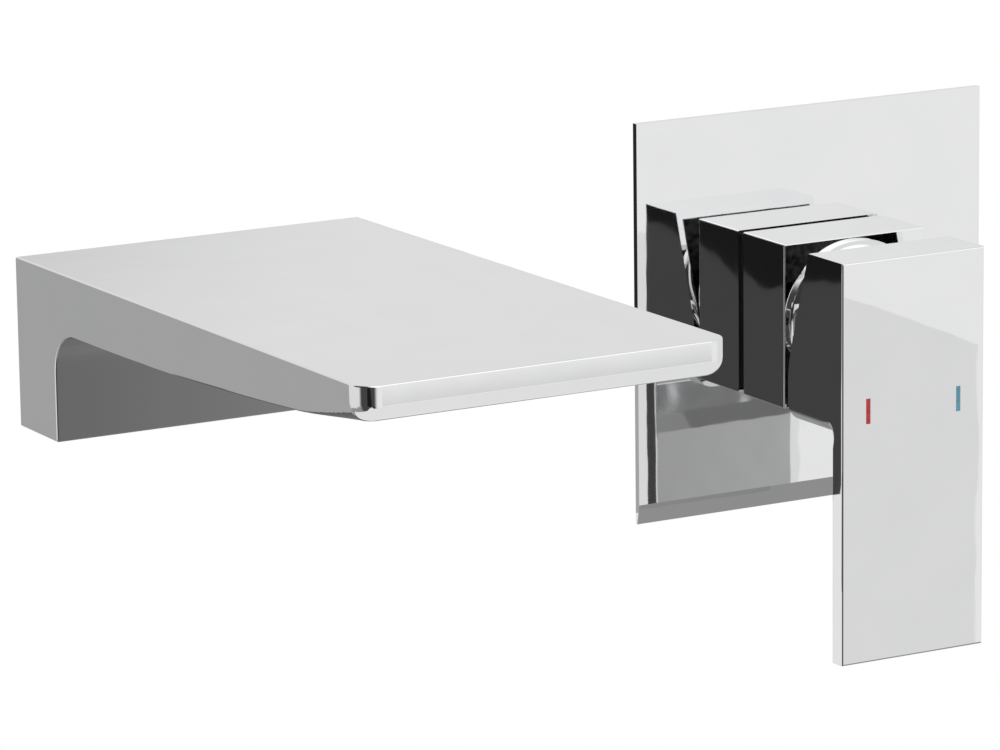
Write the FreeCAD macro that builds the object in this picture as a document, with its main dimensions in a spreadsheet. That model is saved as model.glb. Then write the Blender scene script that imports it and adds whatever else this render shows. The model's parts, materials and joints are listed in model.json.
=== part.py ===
import FreeCAD
import Part
import Sketcher
import math
import os
from types import SimpleNamespace

# Wall-mounted basin mixer: a square single-lever control and a wide flat spout, joined by a tube in the wall.
# Frame: the origin is the centre of the valve body's fixing holes, on its rear face. +X points to the right
# seen from the room, +Y into the wall and +Z up. Lengths are millimetres and angles degrees.

SIZES = {
    # wall, cover plate and gaskets
    "recess_depth": 42,
    "gasket_thickness": 1,
    "gasket_inset": 4,
    "gasket_width": 8,
    "plate_side": 120,
    "plate_thickness": 2,
    "plate_hole_clearance": 0.5,
    "bevel_height": 6,
    "bevel_depth": 1.2,
    # square sleeve, its gasket and the domed collar
    "sleeve_side": 49,
    "sleeve_depth": 22.5,
    "sleeve_gap": 1.4,
    "sleeve_gasket_inset": 1.2,
    "sleeve_edge": 0.4,
    "collar_radius": 23.6,
    "collar_rim": 3.4,
    "collar_height": 6,
    "collar_round": 3,
    "collar_wall": 1.8,
    "collar_hole_radius": 13,
    "collar_skirt": 1.8,
    # handle
    "handle_width": 49,
    "handle_rise": 24,
    "handle_reach": 31.3,
    "handle_top_depth": 18.2,
    "handle_wall": 2.2,
    "rim_gap": 2,
    "relief_drop": 11,
    "relief_round": 40,
    "box_drop": 28,
    "box_round": 6,
    "lever_drop": 95.5,
    "lever_thickness": 5.5,
    "lever_fillet": 3.5,
    "lever_edge": 0.6,
    "boss_side": 14,
    "boss_length": 14,
    "mark_width": 1.5,
    "mark_height": 7.5,
    "mark_depth": 0.5,
    "mark_offset": 15.6,
    "mark_drop": 20.3,
    "grub_radius": 2.4,
    "grub_length": 5,
    "grub_key_radius": 1.3,
    "grub_key_depth": 2,
    "plug_radius": 3.2,
    # lever stem and its pivot
    "stem_side": 8,
    "stem_grip": 10,
    "stem_tail": 5.4,
    "finger_width": 5,
    "finger_thickness": 2.6,
    "ball_radius": 2.2,
    "ball_arm": 8.6,
    "pivot_depth": 11.5,
    "pin_radius": 1.5,
    "pin_length": 22,
    # ceramic cartridge
    "cartridge_radius": 17.5,
    "cartridge_length": 30.4,
    "pivot_to_front": 5,
    "housing_wall": 1.6,
    "lip_thickness": 2.5,
    "base_thickness": 6,
    "port_radius": 3.2,
    "port_offset": 10.5,
    "port_drop": 5,
    "mixed_port_rise": 7.5,
    "seal_width": 1.2,
    "seal_depth": 1.2,
    "fixed_disc_thickness": 4,
    "moving_disc_thickness": 3.5,
    "moving_disc_radius": 10.5,
    "mixing_depth": 2,
    "mixing_radius": 7,
    "carrier_radius": 11.5,
    "carrier_flat": 16,
    "carrier_thickness": 4.5,
    "rotor_neck_radius": 11,
    "rotor_neck_length": 1.5,
    "fork_width": 4,
    "fork_height": 10,
    "swing_room": 7.6,
    "bush_thickness": 1.8,
    "nut_radius": 18.9,
    "nut_hole_radius": 13.6,
    "nut_slot_width": 5,
    "nut_slot_depth": 1.6,
    # valve body in the wall
    "neck_radius": 21,
    "neck_setback": 2.5,
    "body_radius": 24,
    "body_setback": 2,
    "flange_thickness": 4,
    "flange_margin": 4.4,
    "fixing_radius": 33,
    "fixing_hole_radius": 2.75,
    "inlet_offset": 18,
    "inlet_depth": 17,
    "inlet_drop": 46,
    "inlet_radius": 12.5,
    "inlet_thread_radius": 9.3,
    "inlet_thread_length": 14,
    "passage_radius": 6,
    "outlet_depth": 29,
    "outlet_drop": 13.3,
    "outlet_reach": 33,
    "outlet_radius": 8.8,
    "oring_radius": 0.95,
    "groove_width": 2.4,
    "groove_depth": 1.8,
    "neck_groove_setback": 12,
    # tube to the spout
    "tube_radius": 5,
    "tube_bore": 4,
    "tube_socket": 6,
    "bend_radius": 24,
    "bend_angle": 40,
    "bend_offset": 118,
    "tube_nut_radius": 8.2,
    "tube_nut_length": 7,
    # elbow in the wall behind the spout, and nipple
    "elbow_radius": 13,
    "elbow_setback": 8,
    "elbow_reach": 17,
    "elbow_port_depth": 14,
    "elbow_flange_margin": 6,
    "elbow_flange_height": 28,
    "elbow_fixing_spacing": 40,
    "nipple_thread_radius": 10.2,
    "nipple_thread_length": 12.5,
    "nipple_collar_radius": 12.4,
    "nipple_collar_length": 3,
    "nipple_spigot_radius": 9.5,
    "nipple_spigot_length": 16,
    "nipple_bore": 6,
    "nipple_tip_land": 2.8,
    "nipple_groove_spacing": 4.5,
    # spout
    "spout_offset": 204,
    "spout_inlet_rise": 8,
    "spout_width": 106,
    "spout_rise": 42,
    "spout_height": 47.7,
    "spout_reach": 202,
    "tip_rise": 1.5,
    "leg_depth": 24,
    "root_thickness": 16.5,
    "lip_height": 9.4,
    "throat_round": 12,
    "tip_round": 6,
    "tip_blend": 34,
    "hull_round_share": 0.8,
    "lip_round_share": 0.75,
    "root_round": 0.6,
    "top_edge": 0.5,
    "spout_socket_depth": 17,
    "rise_width": 16,
    "rise_depth": 10,
    "channel_margin": 12,
    "channel_height": 3.5,
    "channel_roof": 2.5,
    "slot_margin": 4,
    "slot_length": 12,
    "slot_setback": 8,
    "insert_thickness": 1.6,
    "insert_seal_width": 1,
    "insert_rib": 1.2,
    "insert_border": 1.6,
    "spout_gasket_inset": 2,
    "spout_gasket_clearance": 0.7,
    "spout_grub_setback": 3.5,
    "spout_grub_radius": 2,
    "spout_grub_recess": 1.2,
    # clearances
    "seat_clearance": 0.05,
    "slide_clearance": 0.3,
    "thread_clearance": 0.1,
    "overrun": 2,
}
FULL_TURN = 360
HEX_SIDES = 6
ROOT_INDEX = -1
ACROSS_INDEX = -1
UP_INDEX = -2
START_INDEX = 1
END_INDEX = 2
CENTRE_INDEX = 3
NEAR = 1e-3
FIXING_COUNT = 3
FIRST_FIXING_ANGLE = 30
RIGHT_ANGLE = 90
INSERT_HOLES = 13

doc = FreeCAD.newDocument("basin_mixer")
sheet = doc.addObject("Spreadsheet::Sheet", "Sizes")
for row, (alias, number) in enumerate(SIZES.items(), start=1):
    sheet.set(f"A{row}", alias)
    sheet.set(f"B{row}", str(number))
    sheet.setAlias(f"B{row}", alias)
doc.recompute()


class Size:
    """A length or angle: its value, and the formula that ties it to the sheet."""

    def __init__(self, value, formula):
        self.value = value
        self.formula = formula

    def __add__(self, other):
        other = as_size(other)
        return Size(self.value + other.value, f"({self.formula} + {other.formula})")

    def __sub__(self, other):
        other = as_size(other)
        return Size(self.value - other.value, f"({self.formula} - {other.formula})")

    def __mul__(self, other):
        other = as_size(other)
        return Size(self.value * other.value, f"({self.formula} * {other.formula})")

    def __truediv__(self, other):
        other = as_size(other)
        return Size(self.value / other.value, f"({self.formula} / {other.formula})")

    def __neg__(self):
        return Size(-self.value, f"(-{self.formula})")


def as_size(amount):
    return amount if isinstance(amount, Size) else Size(amount, repr(amount))


def sine(angle):
    return Size(math.sin(math.radians(angle.value)), f"sin({angle.formula})")


def cosine(angle):
    return Size(math.cos(math.radians(angle.value)), f"cos({angle.formula})")


size = SimpleNamespace(**{alias: Size(sheet.get(alias), f"Sizes.{alias}") for alias in SIZES})
nodes = []


# Helpers for primitives and booleans

TURNS = {
    "x": FreeCAD.Rotation(FreeCAD.Vector(0, 1, 0), RIGHT_ANGLE),
    "y": FreeCAD.Rotation(FreeCAD.Vector(1, 0, 0), -RIGHT_ANGLE),
    "z": FreeCAD.Rotation(),
}


def bind(thing, name, amount):
    if isinstance(amount, Size):
        thing.setExpression(name, amount.formula)


def place(thing, x=0, y=0, z=0):
    for letter, amount in (("x", x), ("y", y), ("z", z)):
        bind(thing, f"Placement.Base.{letter}", amount)
    return thing


def along(thing, axis, start, centre):
    """Turns a primitive from its own Z to an axis and puts its foot at start, on the line through centre."""
    thing.Placement = FreeCAD.Placement(FreeCAD.Vector(), TURNS[axis])
    foot = list(centre)
    foot.insert("xyz".index(axis), start)
    return place(thing, *foot)


def cylinder(name, axis, radius, start, end, centre=(0, 0)):
    thing = doc.addObject("Part::Cylinder", name)
    bind(thing, "Radius", radius)
    bind(thing, "Height", as_size(end) - start)
    return along(thing, axis, start, centre)


def hexagon(name, axis, radius, start, end, centre=(0, 0)):
    thing = doc.addObject("Part::Prism", name)
    thing.Polygon = HEX_SIDES
    bind(thing, "Circumradius", radius)
    bind(thing, "Height", as_size(end) - start)
    return along(thing, axis, start, centre)


def block(name, x, y, z):
    """A box between two places on each axis."""
    thing = doc.addObject("Part::Box", name)
    for side, (low, high) in zip(("Length", "Width", "Height"), (x, y, z)):
        bind(thing, side, as_size(high) - low)
    return place(thing, x[0], y[0], z[0])


def both_sides(half, centre=None):
    return (-half, half) if centre is None else (centre - half, centre + half)


def fuse(name, *pieces):
    thing = doc.addObject("Part::MultiFuse", name)
    thing.Shapes = list(pieces)
    thing.Refine = True
    return thing


def cut(name, base, *tools):
    thing = doc.addObject("Part::Cut", name)
    thing.Base = base
    thing.Tool = tools[0] if len(tools) == 1 else fuse(f"{name}_tools", *tools)
    thing.Refine = True
    return thing


def common(name, base, tool):
    thing = doc.addObject("Part::Common", name)
    thing.Base = base
    thing.Tool = tool
    thing.Refine = True
    return thing


def ring(name, axis, outer, inner, start, end, centre=(0, 0)):
    return cut(name, cylinder(f"{name}_outside", axis, outer, start, end, centre),
               cylinder(f"{name}_inside", axis, inner, start, end, centre))


def groove_ring(name, shaft_radius, centre):
    """A rubber ring in a groove of a shaft along Y."""
    thing = doc.addObject("Part::Torus", name)
    bind(thing, "Radius1", shaft_radius - size.groove_depth + size.oring_radius + size.seat_clearance)
    bind(thing, "Radius2", size.oring_radius)
    thing.Placement = FreeCAD.Placement(FreeCAD.Vector(), TURNS["y"])
    return place(thing, *centre)


def keep(thing, name):
    """Marks a finished sub-part and gives it its node's name."""
    thing.Label = name
    nodes.append(thing)


# Helpers for bodies and sketches

def new_body(name):
    return doc.addObject("PartDesign::Body", name)


def new_sketch(body, name, plane, height=0):
    """A sketch on one of the body's own origin planes, raised by height along the plane's normal."""
    sketch = body.newObject("Sketcher::SketchObject", name)
    support = next(feature for feature in body.Origin.OriginFeatures if feature.Role == plane)
    sketch.AttachmentSupport = [(support, "")]
    sketch.MapMode = "FlatFace"
    bind(sketch, "AttachmentOffset.Base.z", height)
    return sketch


def number_of(amount):
    return amount.value if isinstance(amount, Size) else amount


def vector(corner):
    return FreeCAD.Vector(number_of(corner[0]), number_of(corner[1]), 0)


def bound_constraint(sketch, amount, *terms):
    """Adds a constraint with a dimension, and ties that to the sheet."""
    index = sketch.addConstraint(Sketcher.Constraint(*terms, amount.value))
    sketch.setExpression(f"Constraints[{index}]", amount.formula)


def pin_point(sketch, curve, end, corner):
    """Ties a point of a sketch to its two distances from the sketch's origin."""
    for kind, axis, amount in (("DistanceX", UP_INDEX, corner[0]), ("DistanceY", ACROSS_INDEX, corner[1])):
        if isinstance(amount, Size):
            bound_constraint(sketch, amount, kind, ROOT_INDEX, START_INDEX, curve, end)
        else:
            sketch.addConstraint(Sketcher.Constraint("PointOnObject", curve, end, axis))


def polygon(sketch, corners, arcs=None):
    """A closed outline. arcs maps a corner's number to the centre of the arc that leaves it."""
    arcs = arcs or {}
    first = sketch.GeometryCount
    count = len(corners)
    for index, corner in enumerate(corners):
        begin = vector(corner)
        finish = vector(corners[(index + 1) % count])
        if index in arcs:
            middle = vector(arcs[index])
            radius = (begin - middle).Length
            halfway = middle + ((begin + finish) / 2 - middle).normalize() * radius
            sketch.addGeometry(Part.Arc(begin, halfway, finish), False)
        else:
            sketch.addGeometry(Part.LineSegment(begin, finish), False)
    ends = [arc_ends(sketch, first + index, corners[index]) for index in range(count)]
    for index in range(count):
        following = (index + 1) % count
        sketch.addConstraint(Sketcher.Constraint("Coincident", first + index, ends[index][1],
                                                 first + following, ends[following][0]))
    for index, corner in enumerate(corners):
        pin_point(sketch, first + index, ends[index][0], corner)
    for index, middle in arcs.items():
        bound_constraint(sketch, middle[0], "DistanceX", ROOT_INDEX, START_INDEX, first + index, CENTRE_INDEX)


def arc_ends(sketch, curve, corner):
    """Says which end of a curve lies at the corner: an arc always runs anticlockwise in a sketch."""
    starts_there = (sketch.getPoint(curve, START_INDEX) - vector(corner)).Length < NEAR
    return (START_INDEX, END_INDEX) if starts_there else (END_INDEX, START_INDEX)


def rectangle(sketch, across, up):
    polygon(sketch, [(across[0], up[0]), (across[1], up[0]), (across[1], up[1]), (across[0], up[1])])


def circle(sketch, centre, radius):
    curve = sketch.addGeometry(Part.Circle(vector(centre), FreeCAD.Vector(0, 0, 1), radius.value), False)
    pin_point(sketch, curve, CENTRE_INDEX, centre)
    bound_constraint(sketch, radius, "Radius", curve)


def pad(body, sketch, length, symmetric=False):
    feature = body.newObject("PartDesign::Pad", f"{sketch.Name}_pad")
    feature.Profile = sketch
    feature.SideType = "Symmetric" if symmetric else "One side"
    bind(feature, "Length", length)
    return feature


def pocket(body, sketch, length=None, symmetric=False, forward=False):
    """Cuts against the sketch's normal, or along it when forward, and makes sure that something was cut."""
    doc.recompute()
    before = body.Shape.Volume
    feature = body.newObject("PartDesign::Pocket", f"{sketch.Name}_pocket")
    feature.Profile = sketch
    feature.SideType = "Symmetric" if symmetric else "One side"
    feature.Reversed = forward
    if length is None:
        feature.Type = "ThroughAll"
    else:
        bind(feature, "Length", length)
    doc.recompute()
    if not body.Shape.Volume < before:
        raise ValueError(f"{feature.Name} cuts nothing")
    return feature


def revolve(body, sketch):
    feature = body.newObject("PartDesign::Revolution", f"{sketch.Name}_turned")
    feature.Profile = sketch
    feature.ReferenceAxis = (sketch, ["V_Axis"])
    feature.Angle = FULL_TURN
    return feature


def lies_at(limits, spots):
    return any(all(abs(limit - spot.value) < NEAR for limit in limits) for spot in spots)


def edges_at(shape, **where):
    """Numbers of the edges that lie wholly at the given x, y and z; a tuple gives more than one place."""
    found = []
    for number, edge in enumerate(shape.Edges, start=1):
        box = edge.BoundBox
        limits = {"x": (box.XMin, box.XMax), "y": (box.YMin, box.YMax), "z": (box.ZMin, box.ZMax)}
        if all(lies_at(limits[letter], spots) for letter, spots in where.items()):
            found.append(number)
    if not found:
        raise ValueError("no edge lies there")
    return found


def round_edges(body, name, radius, *picks):
    """Rounds the edges of the body's latest feature that lie where the picks say."""
    doc.recompute()
    base = body.Tip
    numbers = sorted({number for pick in picks for number in edges_at(base.Shape, **pick)})
    feature = body.newObject("PartDesign::Fillet", name)
    feature.Base = (base, [f"Edge{number}" for number in numbers])
    bind(feature, "Radius", radius)
    doc.recompute()
    return feature


def tapered_round(name, base, picks):
    """Rounds outer edges: each pick holds the box that an edge fills, and its radius.

    Where two edges run on into each other, the later pick sets the radius at their meeting. So an edge that
    is picked before both of its neighbours tapers from the radius of one to that of the other.
    """
    doc.recompute()
    radii = {}
    for box, radius in picks:
        for number, edge in enumerate(base.Shape.Edges, start=1):
            if fills(edge.BoundBox, box):
                radii[number] = radius.value
    thing = doc.addObject("Part::Fillet", name)
    thing.Base = base
    thing.Edges = [(number, radius, radius) for number, radius in radii.items()]
    return thing


def fills(bound_box, box):
    """Says whether an edge's bounds are a box's: low and high x, y and z, where None leaves one open."""
    lows_and_highs = (bound_box.XMin, bound_box.XMax, bound_box.YMin, bound_box.YMax,
                      bound_box.ZMin, bound_box.ZMax)
    return all(spot is None or abs(limit - spot.value) < NEAR for limit, spot in zip(lows_and_highs, box))


# Places along Y, from the wall out into the room and then into the wall

wall = -size.recess_depth
plate_back = wall - size.gasket_thickness
plate_face = plate_back - size.plate_thickness
sleeve_rear = plate_face - size.sleeve_gap
sleeve_front = sleeve_rear - size.sleeve_depth
neck_front = sleeve_front + size.neck_setback
lever_front = sleeve_front - size.handle_reach
lever_back = lever_front + size.lever_thickness
top_rear = lever_front + size.handle_top_depth
rim = sleeve_front - size.rim_gap
boss_end = lever_back + size.boss_length
pivot = sleeve_front + size.pivot_depth
ball = pivot + size.ball_arm
housing_front = pivot - size.pivot_to_front
seat = housing_front + size.cartridge_length
base_front = seat - size.base_thickness
disc_face = base_front - size.fixed_disc_thickness
moving_face = disc_face - size.seat_clearance
carrier_rear = moving_face - size.moving_disc_thickness
carrier_front = carrier_rear - size.carrier_thickness
rotor_rear = carrier_front - size.slide_clearance
lip_rear = housing_front + size.lip_thickness
rotor_front = lip_rear + size.slide_clearance
rotor_neck_front = housing_front - size.rotor_neck_length
body_front = wall + size.body_setback
inlet_line = wall + size.inlet_depth
outlet_line = wall + size.outlet_depth
elbow_front = wall + size.elbow_setback
spout_back = wall - size.gasket_thickness
spout_tip = spout_back - size.spout_reach
slot_front = spout_tip + size.slot_setback
slot_back = slot_front + size.slot_length
grub_line = boss_end - size.boss_length / 2
spout_grub_line = spout_back - size.spout_grub_setback

# Places along X and Z, and radii that follow from a fit

plate_half = size.plate_side / 2
sleeve_half = size.sleeve_side / 2
sleeve_bore = size.neck_radius + size.slide_clearance
handle_half = size.handle_width / 2
stem_half = size.stem_side / 2
boss_half = size.boss_side / 2
housing_bore = size.cartridge_radius - size.housing_wall
rotor_radius = housing_bore - size.slide_clearance
lip_hole = size.rotor_neck_radius + size.slide_clearance
tube_seat = size.tube_radius + size.seat_clearance
pin_seat = size.pin_radius + size.seat_clearance
pin_span = both_sides(size.pin_length / 2)
mark_span = both_sides(size.mark_height / 2, -size.mark_drop)
spout_x = -size.spout_offset
spout_half = size.spout_width / 2
channel_half = spout_half - size.channel_margin
slot_half = channel_half - size.slot_margin
spout_bottom = size.spout_rise - size.spout_height
channel_top = size.spout_rise - size.channel_roof
channel_floor = channel_top - size.channel_height
elbow_face = spout_x + size.elbow_reach
ports = {
    "hot": (-size.port_offset, -size.port_drop),
    "cold": (size.port_offset, -size.port_drop),
    "mixed": (0, size.mixed_port_rise),
}


# Cover plate and gaskets

def make_cover_plate():
    body = new_body("cover_plate")
    side = new_sketch(body, "plate_side_view", "YZ_Plane")
    polygon(side, [
        (plate_back, plate_half),
        (plate_face, plate_half),
        (plate_face, size.bevel_height - plate_half),
        (plate_face + size.bevel_depth, -plate_half),
        (plate_back, -plate_half),
    ])
    pad(body, side, size.plate_side, symmetric=True)
    hole = new_sketch(body, "plate_hole", "XZ_Plane")
    circle(hole, (0, 0), sleeve_bore + size.plate_hole_clearance)
    pocket(body, hole, symmetric=True)
    keep(body, "cover_plate")


def make_plate_gasket():
    """A foam frame on the wall, set back from the plate's edge."""
    body = new_body("plate_gasket")
    outline = new_sketch(body, "plate_gasket_outline", "XZ_Plane", -wall)
    for inset in (size.gasket_inset, size.gasket_inset + size.gasket_width):
        rectangle(outline, both_sides(plate_half - inset), both_sides(plate_half - inset))
    pad(body, outline, size.gasket_thickness)
    keep(body, "plate_gasket")


def make_spout_gasket():
    """A foam pad on the wall, with a hole that the nipple passes through."""
    body = new_body("spout_gasket")
    outline = new_sketch(body, "spout_gasket_outline", "XZ_Plane", -wall)
    inset = size.spout_gasket_inset
    rectangle(outline, both_sides(spout_half - inset), (spout_bottom + inset, size.spout_rise - inset))
    circle(outline, (0, size.spout_inlet_rise), size.nipple_spigot_radius + size.spout_gasket_clearance)
    pad(body, outline, size.gasket_thickness)
    place(body, x=spout_x)
    keep(body, "spout_gasket")


def make_square_ring(name, half, height, thickness):
    """A square piece round the valve's neck, from height above the origin plane towards the room."""
    body = new_body(name)
    outline = new_sketch(body, f"{name}_outline", "XZ_Plane", height)
    rectangle(outline, both_sides(half), both_sides(half))
    circle(outline, (0, 0), sleeve_bore)
    pad(body, outline, thickness)
    return body


def make_sleeve():
    body = make_square_ring("sleeve", sleeve_half, -sleeve_rear, size.sleeve_depth)
    sides = both_sides(sleeve_half)
    front = (sleeve_front,)
    round_edges(body, "sleeve_edges", size.sleeve_edge,
                {"x": sides, "z": sides}, {"y": front, "x": sides}, {"y": front, "z": sides})
    keep(body, "sleeve")
    gasket_half = sleeve_half - size.sleeve_gasket_inset
    keep(make_square_ring("sleeve_gasket", gasket_half, -plate_face, size.sleeve_gap), "sleeve_gasket")


def make_dome_collar():
    skirt_outside = sleeve_bore - size.thread_clearance
    skirt_inside = skirt_outside - size.collar_wall
    rim_front = sleeve_front - size.collar_rim
    hole_front = sleeve_front - size.collar_height
    body = new_body("dome_collar")
    profile = new_sketch(body, "collar_profile", "XY_Plane")
    polygon(profile, [
        (size.collar_hole_radius, hole_front),
        (size.collar_radius, rim_front),
        (size.collar_radius, sleeve_front),
        (skirt_outside, sleeve_front),
        (skirt_outside, sleeve_front + size.collar_skirt),
        (skirt_inside, sleeve_front + size.collar_skirt),
        (skirt_inside, rim_front + size.collar_wall),
        (size.collar_hole_radius, hole_front + size.collar_wall),
    ])
    revolve(body, profile)
    round_edges(body, "collar_rounding", size.collar_round, {"y": (rim_front,)})
    keep(body, "dome_collar")


# Handle with its marks, screw and plug

def make_handle():
    body = new_body("handle_body")
    side = new_sketch(body, "handle_side_view", "YZ_Plane")
    fillet_start = lever_back + size.lever_fillet
    fillet_end = -size.box_drop - size.lever_fillet
    polygon(side, [
        (lever_front, size.handle_rise),
        (top_rear, size.handle_rise),
        (rim, -size.relief_drop),
        (rim, -size.box_drop),
        (fillet_start, -size.box_drop),
        (lever_back, fillet_end),
        (lever_back, -size.lever_drop),
        (lever_front, -size.lever_drop),
    ], arcs={4: (fillet_start, fillet_end)})
    pad(body, side, size.handle_width, symmetric=True)
    round_edges(body, "relief_rounding", size.relief_round, {"y": (rim,), "z": (-size.relief_drop,)})
    sides = both_sides(handle_half)
    front = (lever_front,)
    round_edges(body, "lever_front_edges", size.lever_edge,
                {"y": front, "x": sides}, {"y": front, "z": (size.handle_rise, -size.lever_drop)})
    hollow = new_sketch(body, "handle_hollow", "YZ_Plane")
    floor = size.handle_wall - size.box_drop
    rectangle(hollow, (lever_back, rim + size.overrun), (floor, size.handle_rise - size.handle_wall))
    pocket(body, hollow, size.handle_width - size.handle_wall * 2, symmetric=True)
    inner_sides = both_sides(handle_half - size.handle_wall)
    round_edges(body, "hollow_rounding", size.box_round - size.handle_wall, {"x": inner_sides, "z": (floor,)})
    boss = new_sketch(body, "handle_boss", "XZ_Plane", -boss_end)
    rectangle(boss, both_sides(boss_half), both_sides(boss_half))
    pad(body, boss, size.boss_length)
    grip = new_sketch(body, "stem_socket", "XZ_Plane", -boss_end)
    socket_half = stem_half + size.seat_clearance
    rectangle(grip, both_sides(socket_half), both_sides(socket_half))
    pocket(body, grip, size.stem_grip, forward=True)
    screw_hole = new_sketch(body, "grub_hole", "XY_Plane", -boss_half)
    circle(screw_hole, (0, grub_line), size.grub_radius + size.seat_clearance)
    pocket(body, screw_hole, boss_half - stem_half, forward=True)
    access = new_sketch(body, "grub_access", "XY_Plane", -size.box_drop)
    circle(access, (0, grub_line), size.plug_radius + size.seat_clearance)
    pocket(body, access, size.handle_wall, forward=True)
    marks = new_sketch(body, "mark_recesses", "XZ_Plane", -lever_front)
    for side_x in both_sides(size.mark_offset):
        rectangle(marks, both_sides(size.mark_width / 2, side_x), mark_span)
    pocket(body, marks, size.mark_depth)
    picks = [((x, x, lever_back, fillet_start, fillet_end, None), size.lever_edge) for x in sides]
    for x in sides:
        picks += [
            ((x, x, fillet_start, rim, None, None), size.box_round),
            ((x, x, lever_back, lever_back, None, fillet_end), size.lever_edge),
        ]
    keep(tapered_round("handle", body, picks), "handle")


def make_handle_pieces():
    inlay = (lever_front, lever_front + size.mark_depth)
    for node, offset in (("hot_mark", -size.mark_offset), ("cold_mark", size.mark_offset)):
        keep(block(node, both_sides(size.mark_width / 2, offset), inlay, mark_span), node)
    screw_top = -stem_half - size.seat_clearance
    keep(socket_screw("handle_grub_screw", size.grub_radius, screw_top - size.grub_length, screw_top,
                      (0, grub_line)), "handle_grub_screw")
    plug = cylinder("grub_plug", "z", size.plug_radius, -size.box_drop, size.handle_wall - size.box_drop,
                    (0, grub_line))
    keep(plug, "grub_plug")


def socket_screw(name, radius, bottom, top, centre):
    """A grub screw along Z with a hexagon socket in its lower end."""
    shank = cylinder(f"{name}_shank", "z", radius, bottom, top, centre)
    key_end = bottom + size.grub_key_depth
    return cut(name, shank, hexagon(f"{name}_key", "z", size.grub_key_radius, bottom, key_end, centre))


def make_stem():
    tip = boss_end - size.stem_grip + size.seat_clearance
    shoulder = pivot + size.stem_tail
    finger = both_sides(size.finger_width / 2)
    bar = block("stem_bar", both_sides(stem_half), (tip, shoulder), both_sides(stem_half))
    thin = both_sides(size.finger_thickness / 2)
    neck = block("stem_finger", finger, (shoulder - size.overrun, ball), thin)
    knob = cylinder("stem_ball", "x", size.ball_radius, *finger, (ball, 0))
    hole = cylinder("stem_pin_hole", "x", pin_seat, *both_sides(size.stem_side), (pivot, 0))
    keep(cut("lever_stem", fuse("stem_blank", bar, neck, knob), hole), "lever_stem")
    keep(cylinder("pivot_pin", "x", size.pin_radius, *pin_span, (pivot, 0)), "pivot_pin")


# Ceramic cartridge

def port_holes(name, radius, start, end):
    return [cylinder(f"{name}_{port}", "y", radius, start, end, centre) for port, centre in ports.items()]


def make_cartridge_shell():
    body = new_body("cartridge_housing")
    profile = new_sketch(body, "housing_profile", "XY_Plane")
    polygon(profile, [
        (housing_bore, base_front),
        (size.cartridge_radius, base_front),
        (size.cartridge_radius, housing_front),
        (lip_hole, housing_front),
        (lip_hole, lip_rear),
        (housing_bore, lip_rear),
    ])
    revolve(body, profile)
    keep(body, "cartridge_housing")
    disc = cylinder("base_disc", "y", size.cartridge_radius, base_front, seat)
    seal_radius = size.port_radius + size.seal_width
    seal_front = seat - size.seal_depth
    keep(cut("cartridge_base", disc, *port_holes("base_port", size.port_radius, base_front, seat),
             *port_holes("seal_recess", seal_radius, seal_front, seat)), "cartridge_base")
    rings = [ring(f"base_seal_{port}", "y", seal_radius, size.port_radius, seal_front, seat, centre)
             for port, centre in ports.items()]
    keep(fuse("base_seals", *rings), "base_seals")


def make_discs():
    fixed = cylinder("fixed_disc_blank", "y", rotor_radius, disc_face, base_front)
    openings = port_holes("fixed_port", size.port_radius, disc_face, base_front)
    keep(cut("fixed_disc", fixed, *openings), "fixed_disc")
    moving = cylinder("moving_disc_blank", "y", size.moving_disc_radius, carrier_rear, moving_face)
    chamber_front = moving_face - size.mixing_depth
    chamber = cylinder("mixing_chamber", "y", size.mixing_radius, chamber_front, moving_face)
    keep(cut("moving_disc", moving, chamber), "moving_disc")
    round_blank = cylinder("carrier_blank", "y", size.carrier_radius, carrier_front, carrier_rear)
    flats = block("carrier_flats", both_sides(size.carrier_flat / 2), (carrier_front, carrier_rear),
                  both_sides(size.carrier_radius + size.overrun))
    room = size.ball_radius + size.slide_clearance
    socket = block("carrier_socket", both_sides(size.finger_width / 2 + size.slide_clearance),
                   (carrier_front - size.overrun, ball + room), both_sides(room))
    keep(cut("disc_carrier", common("carrier_body", round_blank, flats), socket), "disc_carrier")


def make_rotor():
    drum = cylinder("rotor_drum", "y", rotor_radius, rotor_front, rotor_rear)
    neck = cylinder("rotor_neck", "y", size.rotor_neck_radius, rotor_neck_front, rotor_front)
    inside = size.carrier_flat / 2 + size.slide_clearance
    outside = inside + size.fork_width
    reach = (rotor_rear, carrier_rear - size.slide_clearance)
    forks = [block(f"rotor_fork_{side}", span, reach, both_sides(size.fork_height / 2))
             for side, span in (("left", (-outside, -inside)), ("right", (inside, outside)))]
    slot = block("rotor_slot", both_sides(stem_half + size.slide_clearance),
                 (rotor_neck_front - size.overrun, rotor_rear + size.overrun), both_sides(size.swing_room))
    pin_hole = cylinder("rotor_pin_hole", "x", pin_seat, *pin_span, (pivot, 0))
    keep(cut("cartridge_rotor", fuse("rotor_blank", drum, neck, *forks), slot, pin_hole), "cartridge_rotor")


def make_cartridge_nut():
    bush = ring("neck_bush", "y", size.nut_hole_radius - size.slide_clearance, lip_hole,
                housing_front - size.bush_thickness, housing_front)
    keep(bush, "neck_bush")
    nut = ring("nut_ring", "y", size.nut_radius, size.nut_hole_radius, neck_front, housing_front)
    slot_end = neck_front + size.nut_slot_depth
    narrow = both_sides(size.nut_slot_width / 2)
    wide = both_sides(size.nut_radius + size.overrun)
    level_slot = block("nut_slot_level", wide, (neck_front, slot_end), narrow)
    upright_slot = block("nut_slot_upright", narrow, (neck_front, slot_end), wide)
    keep(cut("cartridge_nut", nut, level_slot, upright_slot), "cartridge_nut")


# Valve body, its outlet tube and the spout's elbow

def flange_hole(name, centre):
    return cylinder(name, "y", size.fixing_hole_radius, -size.flange_thickness, 0, centre)


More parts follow.
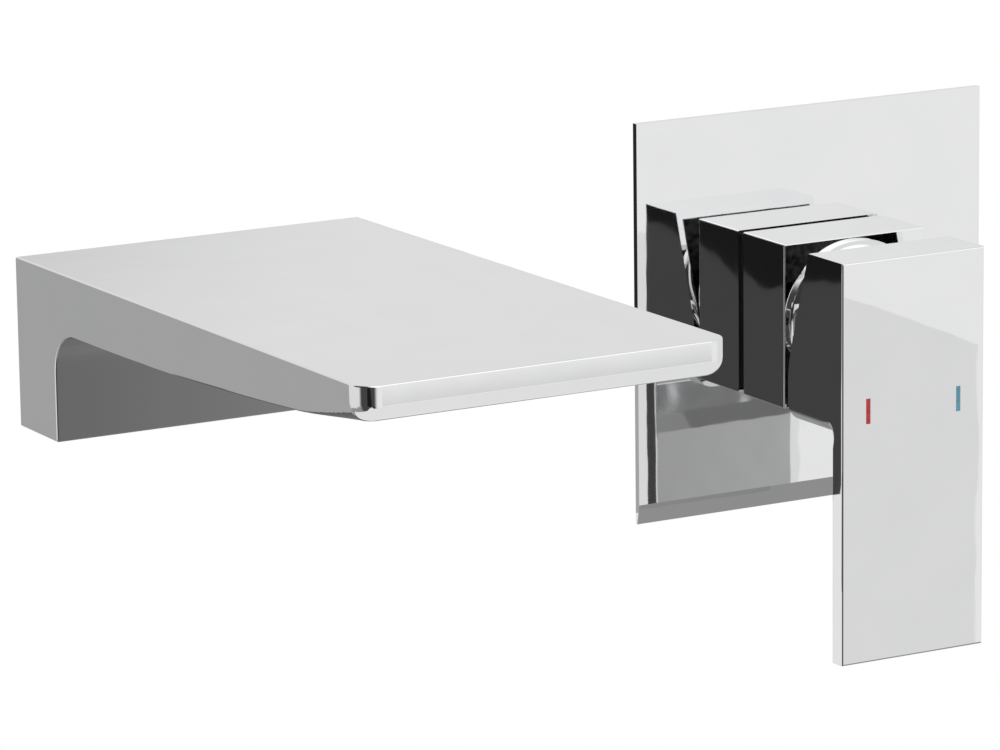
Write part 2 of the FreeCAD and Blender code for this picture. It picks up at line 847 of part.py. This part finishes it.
def make_valve_body():
    outlet_centre = (outlet_line, -size.outlet_drop)
    flange_half = size.fixing_radius * cosine(as_size(FIRST_FIXING_ANGLE)) + size.flange_margin
    solids = [
        block("valve_flange", both_sides(flange_half), (-size.flange_thickness, 0),
              both_sides(size.fixing_radius + size.flange_margin)),
        cylinder("valve_drum", "y", size.body_radius, body_front, -size.flange_thickness),
        cylinder("valve_neck", "y", size.neck_radius, neck_front, body_front),
        block("outlet_stub", (-size.outlet_reach, 0), both_sides(size.outlet_radius, outlet_line),
              both_sides(size.outlet_radius, -size.outlet_drop)),
    ]
    groove_middle = sleeve_front + size.neck_groove_setback
    holes = [
        cylinder("cartridge_bore", "y", size.cartridge_radius + size.thread_clearance, neck_front, seat),
        cylinder("nut_thread", "y", size.nut_radius + size.thread_clearance, neck_front, housing_front),
        ring("neck_groove", "y", size.neck_radius + size.overrun, size.neck_radius - size.groove_depth,
             *both_sides(size.groove_width / 2, groove_middle)),
        cylinder("mixed_passage", "y", size.port_radius, seat, outlet_line, ports["mixed"]),
        cylinder("mixed_drop", "z", size.tube_bore, -size.outlet_drop, size.mixed_port_rise,
                 (0, outlet_line)),
        cylinder("outlet_passage", "x", size.tube_bore, -size.outlet_reach, 0, outlet_centre),
        cylinder("outlet_socket", "x", tube_seat, -size.outlet_reach, size.tube_socket - size.outlet_reach,
                 outlet_centre),
    ]
    mouth = -size.inlet_drop
    thread_top = mouth + size.inlet_thread_length
    for side, offset in (("hot", -size.inlet_offset), ("cold", size.inlet_offset)):
        centre = (offset, inlet_line)
        solids.append(cylinder(f"{side}_stub", "z", size.inlet_radius, mouth, 0, centre))
        holes += [
            cylinder(f"{side}_thread", "z", size.inlet_thread_radius, mouth, thread_top, centre),
            cylinder(f"{side}_rise", "z", size.passage_radius, thread_top, -size.port_drop, centre),
            cylinder(f"{side}_feed", "y", size.port_radius, seat, inlet_line, ports[side]),
        ]
    for number in range(FIXING_COUNT):
        angle = as_size(FIRST_FIXING_ANGLE + number * FULL_TURN / FIXING_COUNT)
        centre = (size.fixing_radius * cosine(angle), size.fixing_radius * sine(angle))
        holes.append(flange_hole(f"fixing_hole_{number}", centre))
    keep(cut("valve_body", fuse("valve_casting", *solids), *holes), "valve_body")
    keep(groove_ring("neck_oring", size.neck_radius, (0, groove_middle, 0)), "neck_oring")


def tube_run(name, radius):
    """The tube's path as a solid rod: two level runs, two bends and the sloping run between them."""
    low = -size.outlet_drop
    high = size.spout_inlet_rise
    rise = high - low
    slope_sine = sine(size.bend_angle)
    slope_cosine = cosine(size.bend_angle)
    bend_rise = size.bend_radius * (as_size(1) - slope_cosine)
    slope = (rise - bend_rise * 2) / slope_sine
    half_run = size.bend_radius * slope_sine + slope * slope_cosine / 2
    right_end = half_run - size.bend_offset
    left_end = -size.bend_offset - half_run
    pieces = [
        cylinder(f"{name}_valve_run", "x", radius, right_end, size.tube_socket - size.outlet_reach,
                 (outlet_line, low)),
        cylinder(f"{name}_spout_run", "x", radius, elbow_face - size.tube_socket, left_end,
                 (outlet_line, high)),
    ]
    for side, middle, height, down in (("valve", right_end, low + size.bend_radius, -1),
                                       ("spout", left_end, high - size.bend_radius, 1)):
        bend = doc.addObject("Part::Torus", f"{name}_{side}_bend")
        bind(bend, "Radius1", size.bend_radius)
        bind(bend, "Radius2", radius)
        bind(bend, "Angle3", size.bend_angle)
        first_arm = FreeCAD.Vector(0, 0, down)
        quarter_arm = FreeCAD.Vector(down, 0, 0)
        turn = FreeCAD.Rotation(first_arm, quarter_arm, FreeCAD.Vector(0, 1, 0))
        bend.Placement = FreeCAD.Placement(FreeCAD.Vector(), turn)
        pieces.append(place(bend, middle, outlet_line, height))
    sloping = doc.addObject("Part::Cylinder", f"{name}_sloping_run")
    bind(sloping, "Radius", radius)
    bind(sloping, "Height", slope)
    sloping.Placement = FreeCAD.Placement(FreeCAD.Vector(), TURNS["x"])
    bind(sloping, "Placement.Rotation.Angle", size.bend_angle - RIGHT_ANGLE)
    place(sloping, right_end - size.bend_radius * slope_sine, outlet_line, low + bend_rise)
    return fuse(name, *pieces, sloping)


def make_outlet_tube():
    outside = tube_run("tube_outside", size.tube_radius)
    keep(cut("outlet_tube", outside, tube_run("tube_inside", size.tube_bore)), "outlet_tube")
    spots = (("valve", -size.outlet_reach - size.tube_nut_length, -size.outlet_drop),
             ("spout", elbow_face, size.spout_inlet_rise))
    nuts = []
    for side, start, height in spots:
        end = start + size.tube_nut_length
        centre = (outlet_line, height)
        blank = hexagon(f"{side}_nut_blank", "x", size.tube_nut_radius, start, end, centre)
        hole = cylinder(f"{side}_nut_hole", "x", tube_seat, start, end, centre)
        nuts.append(cut(f"{side}_tube_nut", blank, hole))
    keep(fuse("tube_nuts", *nuts), "tube_nuts")


def make_wall_elbow():
    height = size.spout_inlet_rise
    centre = (spout_x, height)
    side_centre = (outlet_line, height)
    port_end = elbow_front + size.elbow_port_depth
    fixing_reach = size.elbow_fixing_spacing / 2
    solids = [
        cylinder("elbow_barrel", "y", size.elbow_radius, elbow_front, 0, centre),
        cylinder("elbow_side", "x", size.outlet_radius, spout_x, elbow_face, side_centre),
        block("elbow_flange", both_sides(fixing_reach + size.elbow_flange_margin, spout_x),
              (-size.flange_thickness, 0), both_sides(size.elbow_flange_height / 2, height)),
    ]
    port_radius = size.nipple_thread_radius + size.thread_clearance
    holes = [
        cylinder("elbow_port", "y", port_radius, elbow_front, port_end, centre),
        cylinder("elbow_passage", "y", size.nipple_bore, port_end, outlet_line, centre),
        cylinder("elbow_feed", "x", size.tube_bore, spout_x, elbow_face, side_centre),
        cylinder("elbow_socket", "x", tube_seat, elbow_face - size.tube_socket, elbow_face, side_centre),
    ]
    for number, x in enumerate(both_sides(fixing_reach, spout_x)):
        holes.append(flange_hole(f"elbow_fixing_{number}", (x, height)))
    keep(cut("wall_elbow", fuse("elbow_casting", *solids), *holes), "wall_elbow")


def make_nipple():
    collar_front = elbow_front - size.nipple_collar_length
    tip = spout_back - size.nipple_spigot_length
    groove_radius = size.nipple_spigot_radius - size.groove_depth
    first_groove = tip + size.nipple_tip_land + size.groove_width / 2
    middles = (first_groove + size.nipple_groove_spacing, first_groove)
    body = new_body("spout_nipple")
    profile = new_sketch(body, "nipple_profile", "XY_Plane")
    corners = [
        (size.nipple_bore, elbow_front + size.nipple_thread_length),
        (size.nipple_thread_radius, elbow_front + size.nipple_thread_length),
        (size.nipple_thread_radius, elbow_front),
        (size.nipple_collar_radius, elbow_front),
        (size.nipple_collar_radius, collar_front),
        (size.nipple_spigot_radius, collar_front),
    ]
    for middle in middles:
        near, far = both_sides(size.groove_width / 2, middle)
        corners += [(size.nipple_spigot_radius, far), (groove_radius, far),
                    (groove_radius, near), (size.nipple_spigot_radius, near)]
    corners += [(size.nipple_spigot_radius, tip), (size.nipple_bore, tip)]
    polygon(profile, corners)
    revolve(body, profile)
    place(body, x=spout_x, z=size.spout_inlet_rise)
    keep(body, "spout_nipple")
    rings = []
    for number, middle in enumerate(middles):
        centre = (spout_x, middle, size.spout_inlet_rise)
        rings.append(groove_ring(f"nipple_oring_{number}", size.nipple_spigot_radius, centre))
    keep(fuse("nipple_orings", *rings), "nipple_orings")


# Spout with its outlet

def make_spout():
    leg_front = spout_back - size.leg_depth
    root = size.spout_rise - size.root_thickness
    tip_top = size.spout_rise + size.tip_rise
    lip = tip_top - size.lip_height
    body = new_body("spout_body")
    side = new_sketch(body, "spout_side_view", "YZ_Plane")
    run = leg_front - spout_tip
    blend_start = spout_tip + size.tip_blend
    blend_run = leg_front - blend_start
    climb = lip - root
    blend_climb = climb * blend_run * blend_run / (run * run)
    arc_centre = (leg_front, root + (run * run + climb * climb) / (climb * 2))
    polygon(side, [
        (spout_back, size.spout_rise),
        (spout_tip, tip_top),
        (spout_tip, lip),
        (blend_start, root + blend_climb),
        (leg_front, root),
        (leg_front, spout_bottom),
        (spout_back, spout_bottom),
    ], arcs={2: arc_centre, 3: arc_centre})
    pad(body, side, size.spout_width, symmetric=True)
    sides = both_sides(spout_half)
    round_edges(body, "throat_rounding", size.throat_round, {"y": (leg_front,), "z": (root,)})
    round_edges(body, "tip_rounding", size.tip_round, {"y": (spout_tip,), "x": sides})
    socket = new_sketch(body, "nipple_socket", "XZ_Plane", -spout_back)
    circle(socket, (0, size.spout_inlet_rise), size.nipple_spigot_radius + size.thread_clearance * 2)
    pocket(body, socket, size.spout_socket_depth, forward=True)
    rise_front = spout_back - size.spout_socket_depth
    rise_back = rise_front + size.rise_depth
    rise = new_sketch(body, "rising_passage", "XY_Plane", size.spout_inlet_rise)
    rectangle(rise, both_sides(size.rise_width / 2), (rise_front, rise_back))
    pocket(body, rise, channel_top - size.spout_inlet_rise, forward=True)
    channel = new_sketch(body, "arm_channel", "XY_Plane", channel_top)
    rectangle(channel, both_sides(channel_half), (slot_front, rise_back))
    pocket(body, channel, size.channel_height)
    slot = new_sketch(body, "outlet_slot", "XY_Plane", channel_floor)
    rectangle(slot, both_sides(slot_half), (slot_front, slot_back))
    pocket(body, slot)
    screw_hole = new_sketch(body, "spout_grub_hole", "XY_Plane", spout_bottom)
    circle(screw_hole, (0, spout_grub_line), size.spout_grub_radius + size.seat_clearance)
    pocket(body, screw_hole, size.spout_inlet_rise - spout_bottom, forward=True)
    place(body, x=spout_x)
    left, right = both_sides(spout_half, spout_x)
    corner = spout_tip + size.tip_round
    hull_round = size.tip_round * size.hull_round_share
    lip_round = size.tip_round * size.lip_round_share
    picks = [((x, x, corner, None, None, None), hull_round) for x in (left, right)]
    for x in (left, right):
        picks += [
            ((x, x, blend_start, None, None, None), size.root_round),
            ((x, x, None, leg_front, None, None), size.root_round),
            ((x, x, None, None, spout_bottom, spout_bottom), size.root_round),
        ]
    for near, far in ((left, left + size.tip_round), (right - size.tip_round, right)):
        picks.append(((near, far, spout_tip, corner, None, None), hull_round))
    picks += [
        ((left + size.tip_round, right - size.tip_round, spout_tip, spout_tip, None, None), lip_round),
        ((left, right, leg_front, leg_front, spout_bottom, spout_bottom), size.root_round),
    ]
    corner_top = tip_top - size.tip_rise * size.tip_round / size.spout_reach
    top_heights = (size.spout_rise, size.spout_rise, corner_top, tip_top, tip_top)
    for low, high in zip(top_heights, top_heights[1:]):
        picks.append(((None, None, None, None, low, high), size.top_edge))
    keep(tapered_round("spout", body, picks), "spout")


def make_spout_pieces():
    floor = channel_floor - size.insert_thickness
    body = new_body("outlet_insert")
    plate = new_sketch(body, "insert_plate", "XY_Plane", floor)
    edge = size.insert_seal_width
    rectangle(plate, both_sides(slot_half - edge), (slot_front + edge, slot_back - edge))
    pad(body, plate, size.insert_thickness)
    inside = (slot_half - edge - size.insert_border) * 2
    gap = (inside - size.insert_rib * (INSERT_HOLES - 1)) / INSERT_HOLES
    pitch = size.insert_rib + gap
    hole = new_sketch(body, "insert_holes", "XY_Plane", floor)
    span = (slot_front + edge + size.insert_border, slot_back - edge - size.insert_border)
    for number in range(INSERT_HOLES):
        middle = pitch * (number - (INSERT_HOLES - 1) / 2)
        rectangle(hole, both_sides(gap / 2, middle), span)
    pocket(body, hole, symmetric=True)
    place(body, x=spout_x)
    keep(body, "outlet_insert")
    seal = new_body("insert_seal")
    frame = new_sketch(seal, "insert_seal_outline", "XY_Plane", floor)
    rectangle(frame, both_sides(slot_half), (slot_front, slot_back))
    rectangle(frame, both_sides(slot_half - edge), (slot_front + edge, slot_back - edge))
    pad(seal, frame, size.insert_thickness)
    place(seal, x=spout_x)
    keep(seal, "insert_seal")
    screw_top = size.spout_inlet_rise - size.nipple_spigot_radius - size.seat_clearance
    screw_bottom = spout_bottom + size.spout_grub_recess
    keep(socket_screw("spout_grub_screw", size.spout_grub_radius, screw_bottom, screw_top,
                      (spout_x, spout_grub_line)), "spout_grub_screw")


make_cover_plate()
make_plate_gasket()
make_sleeve()
make_dome_collar()
make_handle()
make_handle_pieces()
make_stem()
make_cartridge_shell()
make_discs()
make_rotor()
make_cartridge_nut()
make_valve_body()
make_outlet_tube()
make_wall_elbow()
make_nipple()
make_spout()
make_spout_gasket()
make_spout_pieces()
doc.recompute()

# Checks before anything is written

for thing in doc.Objects:
    if {"Invalid", "Error"} & set(thing.State):
        raise ValueError(f"{thing.Name} failed: {thing.State}")
for node in nodes:
    if node.Shape.isNull() or not node.Shape.isValid():
        raise ValueError(f"{node.Label} has no valid shape")
os.makedirs("parts", exist_ok=True)
for node in nodes:
    node.Shape.exportStep(f"parts/{node.Label}.step")
print(len(nodes), "sub-parts written")
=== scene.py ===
import json
import math

import bpy
from mathutils import Matrix, Vector

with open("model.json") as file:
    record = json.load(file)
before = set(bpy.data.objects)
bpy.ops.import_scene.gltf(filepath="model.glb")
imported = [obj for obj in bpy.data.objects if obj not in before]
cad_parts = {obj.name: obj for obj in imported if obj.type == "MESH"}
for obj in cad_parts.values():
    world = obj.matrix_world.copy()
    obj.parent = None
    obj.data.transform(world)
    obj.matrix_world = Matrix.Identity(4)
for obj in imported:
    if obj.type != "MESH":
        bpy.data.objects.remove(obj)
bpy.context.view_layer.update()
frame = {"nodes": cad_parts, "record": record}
scene = bpy.context.scene

# The photograph's width and focal length in pixels, and the camera that fits it

IMAGE_WIDTH = 1000
FOCAL_PIXELS = 5528.0
SENSOR_WIDTH = 36.0
CAMERA_TARGET = Vector((-0.1053, -0.0430, -0.0095))
CAMERA_DISTANCE = 1.6
CAMERA_AZIMUTH = math.radians(-29.17)
CAMERA_ELEVATION = math.radians(12.56)
CAMERA_ROLL = math.radians(0.75)

# Studio, in metres: the floor lies so low that the object can be seen from below too

FLOOR_HEIGHT = -1.0
FLOOR_HALF_SIZE = 12.0
FLOOR_SHARES = ((-1, -1), (1, -1), (1, 1), (-1, 1))
WHITE = (1.0, 1.0, 1.0, 1.0)
ROOM_LEVEL = 0.78
# Soft zones of the room: direction, half angles of the full part and of its edge in degrees, grey level
ROOM_ZONES = (
    ((0.60, -0.75, -0.10), 25, 40, 0.88),
    ((0.0, 0.0, -1.0), 60, 69, 0.30),
    ((0.0, 0.97, -0.24), 29, 37, 0.39),
    ((-0.65, -0.72, -0.20), 28, 44, 0.060),
    ((0.10, -0.75, 0.65), 18, 40, 1.30),
    ((-0.85, -0.15, 0.48), 28, 40, 0.04),
)
# Upright cards, seen only in reflections: name, depth, axis that the grey changes along, grey at the low
# and high ends of that axis, corners in X and Z
UPRIGHT_CARDS = (
    ("leg_card", -0.120, "X", 0.115, 0.235,
     ((-0.280, -0.100), (-0.125, -0.100), (-0.125, 0.016), (-0.280, 0.016))),
    ("sleeve_card", -0.600, "X", 0.012, 0.012,
     ((-0.600, -0.131), (-0.377, -0.129), (-0.358, -0.115), (-0.329, -0.097), (-0.290, -0.085),
      (-0.290, -0.050), (-0.600, -0.050))),
    ("lever_card", -0.280, "X", 0.76, 0.76,
     ((0.050, -0.220), (0.1445, -0.220), (0.1445, -0.052), (0.080, -0.025), (0.050, -0.030))),
    ("mirror_card", -8.000, "X", 0.20, 0.20,
     ((4.750, -2.235), (5.005, -2.262), (5.005, -2.130), (4.750, -2.105))),
    ("lip_front_card", -0.400, "Z", 0.42, 0.87,
     ((-0.190, -0.012), (-0.040, -0.012), (-0.040, 0.003), (-0.190, 0.003))),
    ("lever_side_card", 0.020, "X", 0.85, 0.85,
     ((-0.250, -0.200), (-0.040, -0.200), (-0.040, -0.075), (-0.250, -0.075))),
    ("wall_card", -0.0425, "X", 0.02, 0.02,
     ((-0.150, -0.030), (-0.070, -0.030), (-0.070, 0.040), (-0.150, 0.040))),
    ("plate_edge_card", 0.020, "X", 0.02, 0.02,
     ((-0.200, -0.022), (-0.075, -0.022), (-0.075, 0.050), (-0.200, 0.050))),
)
# Level cards: name, height, axis of the grey's change, grey at its low and high ends, corners in X and Y
LEVEL_CARDS = (
    ("throat_card", -0.100, "X", 0.115, 0.235,
     ((-0.280, -0.120), (-0.125, -0.120), (-0.125, -0.043), (-0.280, -0.043))),
    ("lip_card", 0.012, "X", 0.82, 0.82,
     ((-0.280, -0.300), (-0.095, -0.300), (-0.095, -0.220), (-0.280, -0.220))),
    ("bevel_card", -0.150, "X", 0.20, 0.20,
     ((0.105, -0.210), (0.190, -0.210), (0.190, -0.130), (0.105, -0.130))),
)

# Finishes of the material slots and of an unpolished hollow, whose dark finish is partly painted shade:
# two colours, least and greatest roughness, size of the mottling

FINISHES = {
    "chrome": ((0.872, 0.875, 0.880), (0.890, 0.892, 0.895), 0.015, 0.035, 0.0200),
    "cast_brass": ((0.56, 0.40, 0.17), (0.73, 0.57, 0.30), 0.280, 0.460, 0.0030),
    "copper_tube": ((0.50, 0.24, 0.14), (0.76, 0.42, 0.28), 0.200, 0.380, 0.0120),
    "black_rubber": ((0.010, 0.010, 0.011), (0.030, 0.030, 0.032), 0.550, 0.750, 0.0015),
    "grey_foam": ((0.18, 0.18, 0.18), (0.34, 0.34, 0.33), 0.850, 0.950, 0.0011),
    "white_plastic": ((0.76, 0.76, 0.73), (0.84, 0.84, 0.82), 0.320, 0.480, 0.0040),
    "grey_plastic": ((0.22, 0.23, 0.24), (0.31, 0.32, 0.33), 0.350, 0.500, 0.0040),
    "ceramic": ((0.78, 0.75, 0.69), (0.88, 0.86, 0.82), 0.120, 0.220, 0.0020),
    "steel": ((0.48, 0.48, 0.49), (0.64, 0.64, 0.65), 0.250, 0.400, 0.0008),
    "red_enamel": ((0.62, 0.030, 0.030), (0.74, 0.050, 0.045), 0.180, 0.260, 0.0012),
    "blue_enamel": ((0.12, 0.40, 0.54), (0.17, 0.48, 0.62), 0.180, 0.260, 0.0012),
    # Unpolished cast metal inside the handle, painted dark and dull as painted shade of the hollow
    "shaded_as_cast": ((0.050, 0.050, 0.053), (0.200, 0.200, 0.205), 0.380, 0.620, 0.0025),
}
METALS = ("chrome", "cast_brass", "copper_tube", "steel")
OPAQUE = 1.0
# Detail of the mottling's noise, and the stretches of it that the colours and the roughness spread over
MOTTLE_DETAIL = 4
COLOUR_STRETCH = (0.35, 0.65)
ROUGHNESS_STRETCH = (0.30, 0.70)
# How far the surface's grain or slow waves stand out, and the size of that grain
GRAINS = {
    "chrome": (0.00006, 0.0300),
    "cast_brass": (0.00006, 0.0009),
    "copper_tube": (0.00001, 0.0006),
    "black_rubber": (0.00004, 0.0005),
    "grey_foam": (0.00025, 0.0011),
    "white_plastic": (0.00001, 0.0007),
    "grey_plastic": (0.00002, 0.0006),
    "ceramic": (0.000004, 0.0005),
    "steel": (0.00001, 0.0004),
    "red_enamel": (0.000004, 0.0010),
    "blue_enamel": (0.000004, 0.0010),
}
GRAIN_DETAIL = 2
GRAIN_STRENGTH = 1.0
# Hollows that are left unpolished, with their finish painted dark as painted shade: node, finish inside,
# and the two far corners of the hollow
SHADED_LININGS = {
    "handle": ("shaded_as_cast", (-0.0226, -0.0949, -0.0260), (0.0226, -0.0650, 0.0221)),
}


def feed(tree, source, socket):
    """Leads another node's output, or a plain value, into a socket."""
    if isinstance(source, bpy.types.NodeSocket):
        tree.links.new(source, socket)
    else:
        socket.default_value = source


def add_node(tree, kind, **sources):
    """A new node with its named inputs fed; a space in an input's name is written as an underscore."""
    node = tree.nodes.new(kind)
    for name, source in sources.items():
        feed(tree, source, node.inputs[name.replace("_", " ")])
    return node


def through(tree, node, *sources):
    """Feeds the inputs that a node uses, in their order, and gives the output that it uses."""
    inputs = [socket for socket in node.inputs if socket.enabled]
    for socket, source in zip(inputs, sources):
        feed(tree, source, socket)
    return next(socket for socket in node.outputs if socket.enabled)


def step(tree, kind, operation, *sources):
    """One step of node arithmetic."""
    node = tree.nodes.new(kind)
    node.operation = operation
    return through(tree, node, *sources)


def blend(tree, kind, mask, outer, inner):
    """The outer source where the mask is nought, the inner one where it is one."""
    mix = tree.nodes.new("ShaderNodeMix")
    mix.data_type = kind
    return through(tree, mix, mask, outer, inner)


def noise(tree, place, grain_size, detail):
    texture = add_node(tree, "ShaderNodeTexNoise", Vector=place, Scale=1 / grain_size, Detail=detail)
    return texture.outputs["Fac"]


def inside_box(tree, place, low, high):
    """One inside the box between two corners, nought outside it."""
    middle = (Vector(low) + Vector(high)) / 2
    half = (Vector(high) - Vector(low)) / 2
    offset = step(tree, "ShaderNodeVectorMath", "SUBTRACT", place, middle)
    distance = step(tree, "ShaderNodeVectorMath", "ABSOLUTE", offset)
    excess = step(tree, "ShaderNodeVectorMath", "SUBTRACT", distance, half)
    parts = add_node(tree, "ShaderNodeSeparateXYZ", Vector=excess)
    widest = step(tree, "ShaderNodeMath", "MAXIMUM", parts.outputs["X"], parts.outputs["Y"])
    widest = step(tree, "ShaderNodeMath", "MAXIMUM", widest, parts.outputs["Z"])
    return step(tree, "ShaderNodeMath", "LESS_THAN", widest, 0)


def mottled(tree, place, name):
    """Colour and roughness of a finish, varied over the surface."""
    low, high, smoothest, roughest, mottle_size = FINISHES[name]
    mottle = noise(tree, place, mottle_size, MOTTLE_DETAIL)
    ramp = add_node(tree, "ShaderNodeValToRGB", Fac=mottle)
    for stop, position, colour in zip(ramp.color_ramp.elements, COLOUR_STRETCH, (low, high)):
        stop.position = position
        stop.color = (*colour, OPAQUE)
    start, end = ROUGHNESS_STRETCH
    spread = add_node(tree, "ShaderNodeMapRange", Value=mottle, From_Min=start, From_Max=end,
                      To_Min=smoothest, To_Max=roughest)
    return ramp.outputs["Color"], spread.outputs["Result"]


def finish_material(name, shaded_lining=None):
    """The material of a slot; a shaded lining has a finish of its own inside the box between two
    corners: unpolished, and painted dark as painted shade of the hollow.
    """
    material = bpy.data.materials.new(name)
    material.use_nodes = True
    tree = material.node_tree
    shader = tree.nodes["Principled BSDF"]
    place = tree.nodes.new("ShaderNodeTexCoord").outputs["Object"]
    colour, roughness = mottled(tree, place, name)
    # The hollow's lining: an unpolished finish, painted dark as painted shade
    if shaded_lining:
        inner_name, low, high = shaded_lining
        mask = inside_box(tree, place, low, high)
        inner_colour, inner_roughness = mottled(tree, place, inner_name)
        colour = blend(tree, "RGBA", mask, colour, inner_colour)
        roughness = blend(tree, "FLOAT", mask, roughness, inner_roughness)
    depth, grain_size = GRAINS[name]
    grain = noise(tree, place, grain_size, GRAIN_DETAIL)
    bump = add_node(tree, "ShaderNodeBump", Height=grain, Strength=GRAIN_STRENGTH, Distance=depth)
    feed(tree, colour, shader.inputs["Base Color"])
    feed(tree, roughness, shader.inputs["Roughness"])
    feed(tree, float(name in METALS), shader.inputs["Metallic"])
    feed(tree, bump.outputs["Normal"], shader.inputs["Normal"])
    return material


def glowing_material(name):
    """A material that only glows, and the socket of its colour."""
    material = bpy.data.materials.new(name)
    material.use_nodes = True
    tree = material.node_tree
    glow = tree.nodes.new("ShaderNodeEmission")
    feed(tree, glow.outputs["Emission"], tree.nodes["Material Output"].inputs["Surface"])
    return material, glow.inputs["Color"]


def flat_face(name, corners):
    """One flat face of the studio."""
    mesh = bpy.data.meshes.new(name)
    mesh.from_pydata(corners, [], [tuple(range(len(corners)))])
    face = bpy.data.objects.new(name, mesh)
    scene.collection.objects.link(face)
    return face


# Finishes of the pieces

slots = {subpart["node"]: subpart["material_slot"] for subpart in frame["record"]["subparts"]}
finishes = {slot: finish_material(slot) for slot in sorted(set(slots.values()))}
for node, slot in slots.items():
    piece = frame["nodes"][node]
    piece.data.materials.clear()
    # The handle's hollow gets a lining painted dark as painted shade
    shaded_lining = SHADED_LININGS.get(node)
    piece.data.materials.append(finish_material(slot, shaded_lining) if shaded_lining else finishes[slot])


# Camera

ahead = Vector((-math.sin(CAMERA_AZIMUTH) * math.cos(CAMERA_ELEVATION),
                math.cos(CAMERA_AZIMUTH) * math.cos(CAMERA_ELEVATION),
                -math.sin(CAMERA_ELEVATION)))
level_right = Vector((math.cos(CAMERA_AZIMUTH), math.sin(CAMERA_AZIMUTH), 0))
level_up = level_right.cross(ahead)
image_right = level_right * math.cos(CAMERA_ROLL) - level_up * math.sin(CAMERA_ROLL)
image_up = level_right * math.sin(CAMERA_ROLL) + level_up * math.cos(CAMERA_ROLL)

lens = bpy.data.cameras.new("camera")
lens.sensor_width = SENSOR_WIDTH
lens.lens = FOCAL_PIXELS / IMAGE_WIDTH * SENSOR_WIDTH
camera = bpy.data.objects.new("camera", lens)
scene.collection.objects.link(camera)
turn = Matrix((image_right, image_up, -ahead)).transposed()
camera.matrix_world = Matrix.Translation(CAMERA_TARGET - ahead * CAMERA_DISTANCE) @ turn.to_4x4()
scene.camera = camera


# Room light: a pale room with soft darker and lighter zones, and plain white behind the object

world = bpy.data.worlds.new("studio")
scene.world = world
world.use_nodes = True
tree = world.node_tree
direction = tree.nodes.new("ShaderNodeTexCoord").outputs["Generated"]
level = ROOM_LEVEL
for zone_direction, full, edge, grey in ROOM_ZONES:
    zone_middle = Vector(zone_direction).normalized()
    facing = step(tree, "ShaderNodeVectorMath", "DOT_PRODUCT", direction, zone_middle)
    weight = add_node(tree, "ShaderNodeMapRange", Value=facing, From_Min=math.cos(math.radians(edge)),
                      From_Max=math.cos(math.radians(full)))
    weight.interpolation_type = "SMOOTHSTEP"
    level = blend(tree, "FLOAT", weight.outputs["Result"], level, grey)
background = tree.nodes["Background"]
feed(tree, level, background.inputs["Color"])
plain = add_node(tree, "ShaderNodeBackground", Color=WHITE)
camera_ray = tree.nodes.new("ShaderNodeLightPath").outputs["Is Camera Ray"]
choice = through(tree, tree.nodes.new("ShaderNodeMixShader"), camera_ray,
                 background.outputs["Background"], plain.outputs["Background"])
feed(tree, choice, tree.nodes["World Output"].inputs["Surface"])
scene.view_settings.view_transform = "Standard"


# Floor

floor_corners = [(FLOOR_HALF_SIZE * x, FLOOR_HALF_SIZE * y, FLOOR_HEIGHT) for x, y in FLOOR_SHARES]
floor = flat_face("floor", floor_corners)
pale, glow_colour = glowing_material("pale_floor")
glow_colour.default_value = WHITE
floor.data.materials.append(pale)
floor.visible_glossy = False
floor.visible_diffuse = False


# Studio cards

cards = [(name, axis, low, high, [(x, depth, z) for x, z in corners])
         for name, depth, axis, low, high, corners in UPRIGHT_CARDS]
cards += [(name, axis, low, high, [(x, y, height) for x, y in corners])
          for name, height, axis, low, high, corners in LEVEL_CARDS]
for name, axis, low_grey, high_grey, corners in cards:
    card = flat_face(name, corners)
    paper, glow_colour = glowing_material(name)
    tree = paper.node_tree
    place = tree.nodes.new("ShaderNodeTexCoord").outputs["Object"]
    parts = add_node(tree, "ShaderNodeSeparateXYZ", Vector=place)
    ends = [corner["XYZ".index(axis)] for corner in corners]
    grey = add_node(tree, "ShaderNodeMapRange", Value=parts.outputs[axis], From_Min=min(ends),
                    From_Max=max(ends), To_Min=low_grey, To_Max=high_grey)
    feed(tree, grey.outputs["Result"], glow_colour)
    card.data.materials.append(paper)
    card.visible_camera = False
    card.visible_diffuse = False
    card.visible_shadow = False
